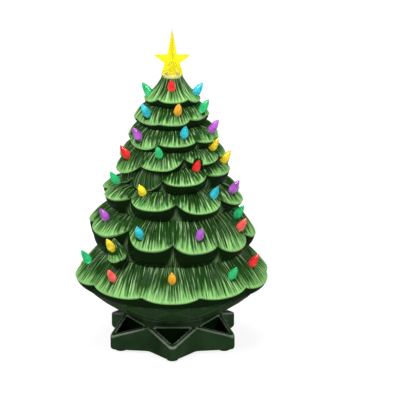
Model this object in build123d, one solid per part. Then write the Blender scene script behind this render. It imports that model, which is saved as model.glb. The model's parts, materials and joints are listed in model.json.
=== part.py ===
from build123d import *
import os
from collections import namedtuple
from math import atan2, cos, degrees, hypot, pi, radians, sin

# A tabletop ceramic tree. The hollow glazed tree carries plastic lamp pegs and a plastic star, and it
# lifts off a star-shaped ceramic foot that holds a coin-cell light unit.
# Sizes are in millimetres. Z is up, the foot pads stand on Z = 0 and the front faces -Y.
# An azimuth is in degrees from the front, growing towards +X.

# Foot: a six-pointed star whose points slope down from a hexagonal hub
POINT_COUNT = 6
TIP_RADIUS = 43.0
NOTCH_RADIUS = 28.5
TIP_HEIGHT = 8.8
HUB_HEIGHT = 15.8
TIP_ROUND = 3.0
NOTCH_ROUND = 4.0
FOOT_EDGE_ROUND = 1.2
POCKET_RIM = 2.9
POCKET_FLOOR = 5.0
POCKET_ROUND = 0.8
NECK_TOP = 20.5
NECK_RADIUS = 27.0
HOLLOW_RADIUS = 20.5
LEDGE_HEIGHT = 8.0
SPIGOT_RADIUS = 22.5
SPIGOT_HEIGHT = 3.5
PAD_RADIUS = 3.2
PAD_THICKNESS = 1.0
PAD_INSET = 8.5

# Tree shell
SEAT_CLEARANCE = 0.4
MOUTH_HEIGHT = 4.0
BOWL_FOOT_RADIUS = 28.4
BOWL_RIM_RADIUS = 53.0
BOWL_RIM_HEIGHT = 38.6
BOWL_BELLY = 1.6
WALL = 5.0
WALL_DROP = 2.0
CROWN_RADIUS = 6.0
CROWN_HEIGHT = 160.0
CROWN_THICKNESS = 8.0
VALLEY_DEPTH = 1.0
LIP_DROP = 1.0
LIP_TUCK = 0.5
BELLY_SHARE = 0.09

# Boughs of each tier in order of azimuth: where the tip points, how far it reaches from the axis and
# how high it hangs, then its lamp's colour, place across the bough and place down it. None is no lamp.
# Neighbouring rims meet in a notch that lies some share of the way down the slope. A tier has one such
# share, and a bough may have its own for the notch before it. The slope of a tier bulges out, or falls
# in where the bulge is below zero. A tier ends below in a round waist, where the next tier grows out.
# The heights are those of a tree with the drawn rim and crown, and stretch with the real rim and crown.
DRAWN_RIM = 38.6
DRAWN_CROWN = 160.0
Bough = namedtuple("Bough", "azimuth reach height lamp across down notch", defaults=(None,))
Tier = namedtuple("Tier", "waist_radius waist_height notch bulge boughs")
TIERS = [
    Tier(13.0, 144.6, 0.84, -1.6, [
        Bough(-142, 16.5, 147.8, None, 0.5, 0.45),
        Bough(-70, 16.6, 147.8, "green", 0.4, 0.74),
        Bough(2, 16.8, 149.3, "red", 0.44, 0.4),
        Bough(76, 16.6, 147.2, "blue", 0.58, 0.74),
        Bough(148, 16.5, 148.0, "purple", 0.9, 0.75),
    ]),
    Tier(17.0, 132.6, 0.92, 1.0, [
        Bough(-156, 22.0, 136.0, None, 0.5, 0.45),
        Bough(-107, 22.6, 135.2, None, 0.5, 0.45),
        Bough(-49, 21.6, 136.4, "blue", 0.54, 0.58),
        Bough(7, 21.6, 137.2, "amber", 0.58, 0.38),
        Bough(60, 20.8, 138.4, "green", 0.62, 0.58, 0.78),
        Bough(108, 21.8, 136.6, None, 0.5, 0.45),
        Bough(157, 21.8, 136.6, "blue", 0.85, 0.6),
    ]),
    Tier(21.5, 121.0, 0.78, 1.3, [
        Bough(-166, 27.0, 124.4, "yellow", 0.5, 0.45),
        Bough(-120, 26.6, 123.6, None, 0.5, 0.45),
        Bough(-46, 26.2, 122.6, "purple", 0.48, 0.62),
        Bough(7, 27.0, 126.2, "blue", 0.66, 0.48),
        Bough(64, 28.0, 126.0, "purple", 0.58, 0.54),
        Bough(114, 27.4, 124.6, None, 0.5, 0.45),
        Bough(158, 27.0, 124.6, "green", 0.5, 0.45),
    ]),
    Tier(23.8, 111.2, 0.74, 1.3, [
        Bough(-152, 30.6, 113.6, "purple", 0.5, 0.45),
        Bough(-108, 31.4, 112.0, None, 0.5, 0.5),
        Bough(-65, 34.4, 108.0, "red", 0.52, 0.48),
        Bough(-14, 31.6, 113.0, "green", 0.42, 0.3),
        Bough(45, 31.2, 115.0, "yellow", 0.93, 0.36, 0.4),
        Bough(92, 30.8, 113.8, None, 0.5, 0.45),
        Bough(136, 30.8, 113.6, "green", 0.88, 0.45),
        Bough(178, 30.8, 113.4, "amber", 0.5, 0.45),
    ]),
    Tier(27.5, 98.0, 0.6, 1.3, [
        Bough(-160, 34.2, 106.6, "red", 0.5, 0.45),
        Bough(-118, 32.0, 104.5, None, 0.5, 0.45),
        Bough(-78, 30.4, 99.7, None, 0.5, 0.5),
        Bough(-36, 30.4, 99.7, None, 0.5, 0.5),
        Bough(13, 36.2, 105.6, "red", 0.78, 0.2),
        Bough(70, 34.4, 106.6, "yellow", 0.74, 0.48),
        Bough(114, 34.4, 106.6, None, 0.5, 0.45),
        Bough(157, 34.4, 106.8, "blue", 0.5, 0.45),
    ]),
    Tier(33.0, 83.4, 0.52, 1.3, [
        Bough(-146, 41.4, 91.0, "coral", 0.12, 0.45),
        Bough(-104, 41.4, 92.0, None, 0.5, 0.45),
        Bough(-66, 41.6, 93.0, "green", 0.1, 0.38),
        Bough(-20, 41.2, 92.0, "yellow", 0.24, 0.26),
        Bough(28, 41.6, 89.6, "blue", 0.8, 0.48),
        Bough(77, 41.6, 88.0, "purple", 0.44, 0.5),
        Bough(114, 41.4, 89.0, None, 0.5, 0.45),
        Bough(148, 41.4, 90.4, "yellow", 0.88, 0.45),
        Bough(180, 41.4, 91.0, "green", 0.5, 0.45),
    ]),
    Tier(40.5, 58.0, 0.72, 1.3, [
        Bough(-152, 48.6, 71.0, "purple", 0.5, 0.45),
        Bough(-106, 49.4, 72.0, None, 0.5, 0.45),
        Bough(-60, 49.5, 73.4, "purple", 0.44, 0.46),
        Bough(-17, 48.0, 70.0, "blue", 0.38, 0.66, 0.45),
        Bough(18, 48.0, 68.4, "purple", 0.58, 0.58),
        Bough(54, 48.4, 65.2, "coral", 0.8, 0.64, 0.8),
        Bough(88, 48.4, 66.0, "green", 0.1, 0.36),
        Bough(124, 48.4, 68.0, None, 0.5, 0.45),
        Bough(164, 48.4, 70.0, "red", 0.5, 0.45),
    ]),
    Tier(BOWL_RIM_RADIUS, DRAWN_RIM, 0.88, 0.6, [
        Bough(-146, 56.2, 42.0, "amber", 0.5, 0.42),
        Bough(-114, 56.0, 42.0, None, 0.5, 0.42),
        Bough(-78, 57.0, 42.0, "green", 0.44, 0.48),
        Bough(-38, 55.6, 42.0, "coral", 0.4, 0.58),
        Bough(0, 56.0, 41.6, "amber", 0.52, 0.42),
        Bough(35, 55.6, 42.0, "green", 0.76, 0.52),
        Bough(70, 56.6, 41.4, "red", 0.5, 0.44),
        Bough(106, 56.2, 42.0, None, 0.5, 0.42),
        Bough(142, 56.0, 42.0, "yellow", 0.5, 0.42),
        Bough(178, 56.2, 42.0, "red", 0.5, 0.42),
    ]),
]

# Sprig: a small bough that fills the gap under two boughs of the seventh tier
SPRIG_AZIMUTH = -43.0
SPRIG_REACH = 46.0
SPRIG_HEIGHT = 62.5
SPRIG_RADIUS = 5.6
SPRIG_TOP = 11.0
SPRIG_UNDER = 6.0
SPRIG_LEAN = 14.0

# Lamp: a flame-shaped translucent peg
LAMP_RADIUS = 2.4
LAMP_LENGTH = 9.2
LAMP_BELLY = 2.8
LAMP_TIP_RADIUS = 0.4
LAMP_PEG_RADIUS = 1.4
LAMP_PEG_LENGTH = 8.5
LAMP_LEAN = 33.0
LAMP_SINK = 0.6
LAMP_FIT = 0.15
LAMP_HOLE_DEPTH = 13.0

# Star on the crown
STAR_ARM = 11.0
STAR_CROWN_ARM = 18.8
STAR_NOTCH = 4.5
STAR_HEIGHT = 9.2
STAR_THICKNESS = 5.6
STAR_EDGE = 1.2
STAR_FLANGE_RADIUS = 5.4
STAR_FLANGE_THICKNESS = 1.2
STAR_STEM_RADIUS = 2.2
STAR_PEG_LENGTH = 9.0
STAR_FIT = 0.15

# Light unit in the foot
PLATE_RADIUS = 21.5
PLATE_THICKNESS = 2.0
PLATE_RECESS = 0.8
PLATE_CLEARANCE = 0.3
CASE_RADIUS = 18.5
CASE_WALL = 1.5
CASE_HEIGHT = 13.2
CASE_CLEARANCE = 0.3
BARB_REACH = 1.1
BARB_HEIGHT = 1.6
BARB_WIDTH = 7.0
BARB_COUNT = 3
BARB_GAP = 0.2
TONGUE_SLOT = 0.8
TONGUE_LENGTH = 5.0
CELL_RADIUS = 10.0
CELL_THICKNESS = 3.2
CELL_CLEARANCE = 0.3
WELL_WALL = 1.4
DOOR_RADIUS = 11.0
DOOR_THICKNESS = 1.2
DOOR_CLEARANCE = 0.2
LUG_REACH = 1.4
LUG_THICKNESS = 0.9
LUG_ANGLE = 30.0
LUG_COUNT = 3
GROOVE_WALL = 0.6
GROOVE_ROOF = 1.0
DOOR_TURN = 60.0
COIN_SLOT_LENGTH = 12.0
COIN_SLOT_WIDTH = 1.6
COIN_SLOT_DEPTH = 0.6
BOARD_RADIUS = 16.6
BOARD_THICKNESS = 1.6
POST_RADIUS = 1.7
POST_PITCH = 15.1
POST_COUNT = 3
SCREW_RADIUS = 0.9
SCREW_HEAD_RADIUS = 1.5
SCREW_HEAD_THICKNESS = 1.0
SCREW_CLEARANCE = 0.15
LED_RADIUS = 2.45
LED_FLANGE_RADIUS = 2.85
LED_FLANGE_THICKNESS = 1.0
LED_HEIGHT = 8.6
LED_PITCH = 6.0
LED_COUNT = 3
LED_CLEARANCE = 0.3
SWITCH_LENGTH = 7.6
SWITCH_WIDTH = 3.0
SWITCH_HEIGHT = 3.6
SWITCH_TRAVEL = 2.5
SLIDER_LENGTH = 2.2
SLIDER_WIDTH = 1.5
SLIDER_REACH = 0.8
SLIDER_CLEARANCE = 0.15
CONTACT_THICKNESS = 0.3
CONTACT_WIDTH = 4.0
CONTACT_SPAN = 14.0
CONTACT_GAP = 0.05
WIRE_RADIUS = 0.5
WIRE_SPACING = 5.0

# Levels of the light unit, from the table up
FOOT_BOTTOM = PAD_THICKNESS
PLATE_BOTTOM = FOOT_BOTTOM + PLATE_RECESS
PLATE_TOP = PLATE_BOTTOM + PLATE_THICKNESS
LUG_BOTTOM = PLATE_BOTTOM + DOOR_THICKNESS + DOOR_CLEARANCE
LUG_TOP = LUG_BOTTOM + LUG_THICKNESS
CELL_BOTTOM = LUG_TOP + DOOR_CLEARANCE
CELL_TOP = CELL_BOTTOM + 2 * CELL_THICKNESS
BOARD_BOTTOM = CELL_TOP + CONTACT_THICKNESS + 1.7
BOARD_TOP = BOARD_BOTTOM + BOARD_THICKNESS
CASE_TOP = PLATE_TOP + CASE_HEIGHT
LAMP_COLOURS = ["red", "coral", "amber", "yellow", "green", "blue", "purple"]


def around(azimuth, radius, height):
    """A point at an azimuth, distance from the axis and height."""
    angle = radians(azimuth)
    return Vector(radius * sin(angle), -radius * cos(angle), height)


def turned(shape, azimuth):
    """A shape modelled at the front, turned to an azimuth."""
    return shape.rotate(Axis.Z, azimuth)


def disc(radius, bottom, top):
    """A round plate or column on the axis."""
    return Pos(0, 0, bottom) * extrude(Circle(radius), top - bottom)


def block(length, width, low, high):
    """A box centred on X and Y between two heights."""
    return Pos(0, 0, low) * Box(length, width, high - low, align=(Align.CENTER, Align.CENTER, Align.MIN))


def spun(points):
    """A solid of revolution about Z from (radius, height) corners."""
    return revolve(Plane.XZ * make_face(Polyline(*points, close=True)), Axis.Z)


# Foot
def star_outline():
    """The foot's plan: straight sides between rounded tips and rounded notches."""
    half = 180 / POINT_COUNT
    corners = []
    for i in range(POINT_COUNT):
        corners.append(around(2 * half * i, TIP_RADIUS, 0))
        corners.append(around(2 * half * i + half, NOTCH_RADIUS, 0))
    plan = make_face(Polyline(*corners, close=True))
    middle = (TIP_RADIUS + NOTCH_RADIUS) / 2
    tips = [v for v in plan.vertices() if hypot(v.X, v.Y) > middle]
    plan = fillet(tips, TIP_ROUND)
    notches = [v for v in plan.vertices() if hypot(v.X, v.Y) < NOTCH_RADIUS + 0.1]
    return fillet(notches, NOTCH_ROUND)


def hexagon(radius, height):
    """The hub's plan, with its corners over the notches."""
    half = 180 / POINT_COUNT
    corners = [around(half + 2 * half * i, radius, height) for i in range(POINT_COUNT)]
    return Wire.make_polygon(corners)


def split_circle(radius, height):
    """A circle in as many arcs as the hub has sides."""
    half = 180 / POINT_COUNT
    arcs = []
    for i in range(POINT_COUNT):
        start = half + 2 * half * i
        stops = [around(start + half * step, radius, height) for step in range(3)]
        arcs.append(Edge.make_three_point_arc(*stops))
    return Wire(arcs)


def star_pocket():
    """The three-cornered recess in the front point, which leaves an even rim along both sides."""
    half = 180 / POINT_COUNT
    tip = around(0, TIP_RADIUS, 0)
    notch = around(half, NOTCH_RADIUS, 0)
    side = (notch - tip).normalized()
    back = notch + side * (POCKET_RIM / abs(side.Y))
    plan = make_face(Polyline(tip, back, Vector(-back.X, back.Y, 0), close=True))
    plan = offset(plan, -POCKET_RIM, kind=Kind.INTERSECTION)
    plan = fillet(plan.vertices(), POCKET_ROUND)
    return Pos(0, 0, POCKET_FLOOR) * extrude(plan, HUB_HEIGHT)


def star_foot():
    body = Pos(0, 0, FOOT_BOTTOM) * extrude(star_outline(), HUB_HEIGHT - FOOT_BOTTOM)
    wide = TIP_RADIUS / cos(pi / POINT_COUNT)
    levels = [hexagon(wide, FOOT_BOTTOM), hexagon(wide, TIP_HEIGHT), hexagon(NOTCH_RADIUS, HUB_HEIGHT)]
    body = body & Solid.make_loft(levels, ruled=True)
    body = fillet(body.edges().group_by(Axis.Z)[0], FOOT_EDGE_ROUND)
    for i in range(POINT_COUNT):
        body -= turned(star_pocket(), 360 / POINT_COUNT * i)
    hub = hexagon(NOTCH_RADIUS, HUB_HEIGHT)
    neck = Solid.make_loft([hub, split_circle(NECK_RADIUS, NECK_TOP)], ruled=True)
    spigot_top = NECK_TOP + SPIGOT_HEIGHT
    body += neck
    body += disc(SPIGOT_RADIUS, NECK_TOP, spigot_top)
    body -= disc(PLATE_RADIUS + PLATE_CLEARANCE, FOOT_BOTTOM, PLATE_TOP)
    body -= disc(CASE_RADIUS + CASE_CLEARANCE, PLATE_TOP, LEDGE_HEIGHT)
    return body - disc(HOLLOW_RADIUS, LEDGE_HEIGHT, spigot_top)


def foot_pads():
    reach = TIP_RADIUS - PAD_INSET
    pad = disc(PAD_RADIUS, 0, PAD_THICKNESS)
    return [Pos(around(360 / POINT_COUNT * i, reach, 0)) * pad for i in range(POINT_COUNT)]


# Tree
def level(drawn):
    """A drawn height, stretched to the real rim and crown."""
    share = (drawn - DRAWN_RIM) / (DRAWN_CROWN - DRAWN_RIM)
    return BOWL_RIM_HEIGHT + share * (CROWN_HEIGHT - BOWL_RIM_HEIGHT)


def notches_of(tier, top):
    """The places on the slope where neighbouring rims meet; notch i lies before bough i."""
    found = []
    for i, bough in enumerate(tier.boughs):
        before = tier.boughs[i - 1]
        back = before.azimuth - (360 if i == 0 else 0)
        reach = min(before.reach, bough.reach)
        height = level((before.height + bough.height) / 2)
        share = bough.notch or tier.notch
        place = (top[0] + (reach - top[0]) * share, top[1] + (height - top[1]) * share)
        found.append(((back + bough.azimuth) / 2, *place))
    first = found[0]
    return found + [(first[0] + 360, first[1], first[2])]


def bulged(start, end, azimuth, out, up):
    """The middle of a line on the slope, pushed out from the axis and up."""
    return (start + end) / 2 + around(azimuth, out, up)


def tier_edges(tier, top):
    """The edges of one tier, level by level: upper waist, shoulder, rim, lip, belly and lower waist."""
    notches = notches_of(tier, top)
    levels = [[] for _ in range(6)]
    for i, bough in enumerate(tier.boughs):
        left, right = notches[i], notches[i + 1]
        middle = (left[0] + right[0]) / 2
        tip = (bough.azimuth, bough.reach, level(bough.height))
        valley = tier.bulge - VALLEY_DEPTH
        corners = [(left[0], left, valley), (middle, tip, tier.bulge), (right[0], right, valley)]
        lines = []
        for azimuth, corner, bulge in corners:
            waist = around(azimuth, *top)
            rim = around(*corner)
            lip = around(corner[0], corner[1] - LIP_TUCK, corner[2] - LIP_DROP)
            end = around(azimuth, tier.waist_radius, level(tier.waist_height))
            shoulder = bulged(waist, rim, corner[0], bulge, bulge)
            sag = BELLY_SHARE * (end - lip).length
            belly = bulged(lip, end, corner[0], sag, -sag)
            lines.append((waist, shoulder, rim, lip, belly, end))
        for edges, stops in zip(levels, zip(*lines)):
            edges.append(Edge.make_three_point_arc(*stops))
    return levels


def tier_tops():
    """The radius and height that each tier hangs from."""
    tops = [(CROWN_RADIUS, CROWN_HEIGHT)]
    return tops + [(tier.waist_radius, level(tier.waist_height)) for tier in TIERS[:-1]]


def tier_body(tier, top):
    """One ring of boughs, lofted through its levels."""
    return Solid.make_loft([Wire(edges) for edges in tier_edges(tier, top)], ruled=True)


def bowl():
    """The tree's round underside, from the lowest tier down to the foot ring."""
    rim = (BOWL_RIM_RADIUS, BOWL_RIM_HEIGHT)
    foot = (BOWL_FOOT_RADIUS, NECK_TOP)
    belly = ((rim[0] + foot[0]) / 2 + BOWL_BELLY, (rim[1] + foot[1]) / 2 - BOWL_BELLY)
    side = ThreePointArc(rim, belly, foot)
    edge = Polyline(foot, (0, NECK_TOP), (0, BOWL_RIM_HEIGHT), rim)
    return revolve(Plane.XZ * make_face([side, edge]), Axis.Z)


def cavity():
    """The space inside the wall, which follows the tiers in and out."""
    mouth = SPIGOT_RADIUS + SEAT_CLEARANCE
    corners = [(0, NECK_TOP), (mouth, NECK_TOP), (mouth, NECK_TOP + MOUTH_HEIGHT)]
    corners.append((BOWL_RIM_RADIUS - 2 * WALL, BOWL_RIM_HEIGHT))
    for tier, top in zip(reversed(TIERS), reversed(tier_tops())):
        notches = notches_of(tier, top)
        nearest = min(notch[1] for notch in notches)
        lowest = min(notch[2] for notch in notches)
        corners.append((nearest - WALL, lowest - WALL_DROP))
        corners.append((top[0] - WALL, top[1] - WALL_DROP))
    corners[-1] = (CROWN_RADIUS - WALL / 2, CROWN_HEIGHT - CROWN_THICKNESS)
    corners.append((0, CROWN_HEIGHT - CROWN_THICKNESS))
    return spun(corners)


def sprig_axis():
    lean = around(SPRIG_AZIMUTH, sin(radians(SPRIG_LEAN)), 0)
    return Vector(lean.X, lean.Y, cos(radians(SPRIG_LEAN)))


def sprig_place():
    return Plane(around(SPRIG_AZIMUTH, SPRIG_REACH, level(SPRIG_HEIGHT)), z_dir=sprig_axis())


def sprig():
    profile = [(0, SPRIG_TOP), (SPRIG_RADIUS, 0), (SPRIG_RADIUS - LIP_TUCK, -LIP_DROP), (0, -SPRIG_UNDER)]
    return sprig_place().location * spun(profile)


def lamp_places():
    """Each lamp's colour, seat on the bough and azimuth."""
    places = []
    for tier, top in zip(TIERS, tier_tops()):
        waists, shoulders, rims = tier_edges(tier, top)[:3]
        for bough, waist, shoulder, rim in zip(tier.boughs, waists, shoulders, rims):
            line = [edge @ bough.across for edge in (waist, shoulder, rim)]
            upper = bough.down < 0.5
            start, end = (line[0], line[1]) if upper else (line[1], line[2])
            share = bough.down * 2 - (0 if upper else 1)
            if bough.lamp:
                places.append((bough.lamp, start + (end - start) * share))
    out = around(SPRIG_AZIMUTH, SPRIG_RADIUS / 2, 0)
    places.append(("yellow", sprig_place().origin + sprig_axis() * SPRIG_TOP / 2 + out))
    return places


def lamp_location(seat):
    """Where a lamp sits: it leans out from upright, away from the axis."""
    azimuth = degrees(atan2(seat.X, -seat.Y))
    lean = radians(LAMP_LEAN)
    axis = around(azimuth, sin(lean), cos(lean))
    return Plane(seat - axis * LAMP_SINK, z_dir=axis).location


def lamp():
    """A flame-shaped bulb with a round shoulder on a straight peg."""
    shoulder = (LAMP_PEG_RADIUS, 0)
    belly = (LAMP_RADIUS, LAMP_BELLY)
    tip = (LAMP_TIP_RADIUS, LAMP_LENGTH - LAMP_TIP_RADIUS / 2)
    low = ThreePointArc(shoulder, (LAMP_RADIUS * 0.9, LAMP_BELLY * 0.42), belly)
    high_middle = (LAMP_RADIUS * 0.72, (LAMP_BELLY + LAMP_LENGTH) / 2)
    high = ThreePointArc(belly, high_middle, tip)
    outline = [(LAMP_PEG_RADIUS, 0), (LAMP_PEG_RADIUS, -LAMP_PEG_LENGTH), (0, -LAMP_PEG_LENGTH)]
    rest = Polyline(*outline, (0, LAMP_LENGTH), tip)
    return revolve(Plane.XZ * make_face([low, high, rest]), Axis.Z)


def lamp_hole():
    """A drilled hole with a cone that clears the lamp's shoulder."""
    peg = LAMP_PEG_RADIUS + LAMP_FIT
    wide = LAMP_RADIUS + LAMP_FIT
    outline = [(0, -LAMP_HOLE_DEPTH), (peg, -LAMP_HOLE_DEPTH), (peg, -LAMP_FIT)]
    return spun(outline + [(wide, LAMP_BELLY / 2), (wide, LAMP_LENGTH), (0, LAMP_LENGTH)])


def tree_shell():
    body = bowl()
    for tier, top in zip(TIERS, tier_tops()):
        body += tier_body(tier, top)
    body += sprig()
    body -= cavity()
    body -= disc(STAR_STEM_RADIUS + STAR_FIT, CROWN_HEIGHT - CROWN_THICKNESS, CROWN_HEIGHT)
    hole = lamp_hole()
    return body - [lamp_location(seat) * hole for _, seat in lamp_places()]


def star_topper():
    """A five-pointed star with ridged faces and a tall upper arm, on a flange and a peg."""
    centre = CROWN_HEIGHT + STAR_HEIGHT
    corners = []
    for i in range(5):
        arm = STAR_CROWN_ARM if i == 0 else STAR_ARM
        corners.append((arm * sin(radians(72 * i)), arm * cos(radians(72 * i))))
        corners.append((STAR_NOTCH * sin(radians(72 * i + 36)), STAR_NOTCH * cos(radians(72 * i + 36))))
    wires = [
        Wire.make_polygon([Vector(x, y, centre + z) for x, z in corners])
        for y in (-STAR_EDGE / 2, STAR_EDGE / 2)
    ]
    body = Solid.make_loft(wires, ruled=True)
    for wire, side in zip(wires, (-1, 1)):
        peak = Vertex(0, side * STAR_THICKNESS / 2, centre)
        body += Solid.make_loft([wire, peak], ruled=True)
    body += disc(STAR_FLANGE_RADIUS, CROWN_HEIGHT, CROWN_HEIGHT + STAR_FLANGE_THICKNESS)
    return body + disc(STAR_STEM_RADIUS, CROWN_HEIGHT - STAR_PEG_LENGTH, centre)


# Light unit
def posts(radius, bottom, top):
    column = disc(radius, bottom, top)
    step = 360 / POST_COUNT
    return [Pos(around(step * i, POST_PITCH, 0)) * column for i in range(POST_COUNT)]


def sector(radius, angle, bottom, top):
    """A wedge of a disc, centred on the front."""
    half = angle / 2
    rim = ThreePointArc(*[around(a, radius, 0) for a in (-half, 0, half)])
    sides = Polyline(around(half, radius, 0), (0, 0, 0), around(-half, radius, 0))
    return Pos(0, 0, bottom) * extrude(make_face([rim, sides]), top - bottom)


def lugs(grow, bottom, top, turn):
    reach = DOOR_RADIUS + LUG_REACH + grow
    angle = LUG_ANGLE + degrees(2 * grow / reach)
    lug = sector(reach, angle, bottom, top)
    return [turned(lug, 360 / LUG_COUNT * i + turn) for i in range(LUG_COUNT)]


def switch_place():
    """The switch stands behind the cell well, between the well's flange and the case wall."""
    return well_flange_radius() + SLIDER_CLEARANCE + SWITCH_WIDTH / 2


def well_flange_radius():
    return DOOR_RADIUS + LUG_REACH + DOOR_CLEARANCE + GROOVE_WALL


def bottom_plate():
    """The plate under the foot, with the cell well, the door's turning groove and the board posts."""
    well = CELL_RADIUS + CELL_CLEARANCE
    well_outer = well + WELL_WALL
    flange = well_flange_radius()
    flange_top = LUG_TOP + DOOR_CLEARANCE + GROOVE_ROOF
    groove = DOOR_RADIUS + LUG_REACH + DOOR_CLEARANCE
    groove_bottom = LUG_BOTTOM - DOOR_CLEARANCE
    groove_top = LUG_TOP + DOOR_CLEARANCE
    opening = DOOR_RADIUS + DOOR_CLEARANCE
    outside = [(opening, PLATE_BOTTOM), (PLATE_RADIUS, PLATE_BOTTOM), (PLATE_RADIUS, PLATE_TOP)]
    outside += [(flange, PLATE_TOP), (flange, flange_top), (well_outer, flange_top), (well_outer, CELL_TOP)]
    inside = [(well, CELL_TOP), (well, groove_top), (groove, groove_top)]
    inside += [(groove, groove_bottom), (opening, groove_bottom)]
    body = spun(outside + inside)
    body += posts(POST_RADIUS, PLATE_TOP, BOARD_BOTTOM)
    body -= lugs(DOOR_CLEARANCE, PLATE_BOTTOM, groove_bottom, DOOR_TURN)
    body -= posts(SCREW_RADIUS + SCREW_CLEARANCE, PLATE_BOTTOM, BOARD_BOTTOM)
    head_top = PLATE_BOTTOM + SCREW_HEAD_THICKNESS + SCREW_CLEARANCE
    body -= posts(SCREW_HEAD_RADIUS + SCREW_CLEARANCE, PLATE_BOTTOM, head_top)
    slot_length = SLIDER_LENGTH + SWITCH_TRAVEL + 2 * SLIDER_CLEARANCE
    slot = block(slot_length, SLIDER_WIDTH + 2 * SLIDER_CLEARANCE, PLATE_BOTTOM, PLATE_TOP)
    body -= Pos(0, switch_place(), 0) * slot
    depth = 2 * CELL_CLEARANCE + CONTACT_THICKNESS
    window = block(CONTACT_WIDTH + 2 * CELL_CLEARANCE, depth, CELL_BOTTOM, CELL_TOP)
    return body - turned(Pos(0, -well, 0) * window, positive_azimuth())


def positive_azimuth():
    """The side contact stands midway between two posts, away from the switch."""
    return 180 / POST_COUNT


def lamp_case():
    """A cup over the board, with three snap tongues that catch on the foot's ledge."""
    inner = CASE_RADIUS - CASE_WALL
    body = disc(CASE_RADIUS, PLATE_TOP, CASE_TOP) - disc(inner, PLATE_TOP, CASE_TOP - CASE_WALL)
    body += posts(POST_RADIUS, BOARD_TOP, CASE_TOP - CASE_WALL)
    body -= posts(SCREW_RADIUS, BOARD_TOP, CASE_TOP - CASE_WALL)
    for i in range(LED_COUNT):
        place = around(360 / LED_COUNT * i, LED_PITCH, 0)
        body -= Pos(place) * disc(LED_RADIUS + LED_CLEARANCE, CASE_TOP - CASE_WALL, CASE_TOP)
    catch = LEDGE_HEIGHT + BARB_GAP
    outline = [(inner, catch), (CASE_RADIUS + BARB_REACH, catch), (CASE_RADIUS, catch + BARB_HEIGHT)]
    outline.append((inner, catch + BARB_HEIGHT))
    barb_ring = spun(outline)
    for i in range(BARB_COUNT):
        azimuth = 360 / BARB_COUNT * (i + 0.5)
        cut = tongue_slots(inner, catch + BARB_HEIGHT)
        barb = barb_ring & (Pos(0, -CASE_RADIUS, 0) * block(BARB_WIDTH, 4 * CASE_WALL, catch, CASE_TOP))
        body -= [turned(piece, azimuth) for piece in cut]
        body += turned(barb, azimuth)
    return body


def tongue_slots(inner, top):
    """Slots beside and over one tongue, through the wall at the front."""
    depth = 4 * CASE_WALL
    middle = (inner + CASE_RADIUS) / 2
    side = block(TONGUE_SLOT, depth, top - TONGUE_LENGTH, top + TONGUE_SLOT)
    over = block(BARB_WIDTH + 2 * TONGUE_SLOT, depth, top, top + TONGUE_SLOT)
    offset_x = (BARB_WIDTH + TONGUE_SLOT) / 2
    return [Pos(x, -middle, 0) * piece for x, piece in ((-offset_x, side), (offset_x, side), (0, over))]


def battery_door():
    body = disc(DOOR_RADIUS, PLATE_BOTTOM, PLATE_BOTTOM + DOOR_THICKNESS)
    body += disc(CELL_RADIUS, PLATE_BOTTOM, LUG_TOP)
    body += lugs(0, LUG_BOTTOM, LUG_TOP, 0)
    return body - block(COIN_SLOT_LENGTH, COIN_SLOT_WIDTH, PLATE_BOTTOM, PLATE_BOTTOM + COIN_SLOT_DEPTH)


def coin_cell(place):
    """A button cell, counted from below: a wide can with a smaller cap on top."""
    bottom = CELL_BOTTOM + place * CELL_THICKNESS
    cap = 0.15 * CELL_THICKNESS
    body = disc(CELL_RADIUS, bottom, bottom + CELL_THICKNESS - cap)
    body = fillet(body.edges().group_by(Axis.Z)[0], cap)
    return body + disc(0.88 * CELL_RADIUS, bottom + CELL_THICKNESS - cap, bottom + CELL_THICKNESS)


def negative_contact():
    """A bridge of spring strip under the board, whose middle presses on the upper cell."""
    high = BOARD_BOTTOM - CONTACT_THICKNESS / 2
    low = CELL_TOP + CONTACT_GAP + CONTACT_THICKNESS / 2
    foot = CONTACT_SPAN / 2
    knee = foot * 0.6
    flat = foot * 0.12
    path = Polyline((-foot, high), (-knee, high), (-flat, low), (flat, low), (knee, high), (foot, high))
    strip = Plane.XZ * trace(path, CONTACT_THICKNESS)
    return extrude(strip, CONTACT_WIDTH / 2, both=True)


def positive_contact():
    """A strip in the well's window that touches the side of both cells and rises to the board."""
    place = CELL_RADIUS + CONTACT_GAP + CONTACT_THICKNESS / 2
    strip = block(CONTACT_WIDTH, CONTACT_THICKNESS, CELL_BOTTOM + CELL_CLEARANCE, BOARD_BOTTOM)
    return turned(Pos(0, -place, 0) * strip, positive_azimuth())


def circuit_board():
    body = disc(BOARD_RADIUS, BOARD_BOTTOM, BOARD_TOP)
    return body - posts(SCREW_RADIUS + SCREW_CLEARANCE, BOARD_BOTTOM, BOARD_TOP)


def led():
    """A round-nosed light-emitting diode with its flange on the board."""
    dome = BOARD_TOP + LED_HEIGHT - LED_RADIUS
    body = disc(LED_FLANGE_RADIUS, BOARD_TOP, BOARD_TOP + LED_FLANGE_THICKNESS)
    return body + disc(LED_RADIUS, BOARD_TOP, dome) + Pos(0, 0, dome) * Sphere(LED_RADIUS)


def leds():
    return [Pos(around(360 / LED_COUNT * i, LED_PITCH, 0)) * led() for i in range(LED_COUNT)]


def case_screws():
    heads = posts(SCREW_HEAD_RADIUS, PLATE_BOTTOM, PLATE_BOTTOM + SCREW_HEAD_THICKNESS)
    shanks = posts(SCREW_RADIUS, PLATE_BOTTOM, CASE_TOP - CASE_WALL)
    return [head + shank for head, shank in zip(heads, shanks)]


def switch_body():
    slot_length = SLIDER_LENGTH + SWITCH_TRAVEL + 2 * SLIDER_CLEARANCE
    slot = block(slot_length, SLIDER_WIDTH + 2 * SLIDER_CLEARANCE, PLATE_TOP, PLATE_TOP + SWITCH_HEIGHT / 2)
    body = block(SWITCH_LENGTH, SWITCH_WIDTH, PLATE_TOP, PLATE_TOP + SWITCH_HEIGHT) - slot
    return Pos(0, switch_place(), 0) * body


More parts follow.
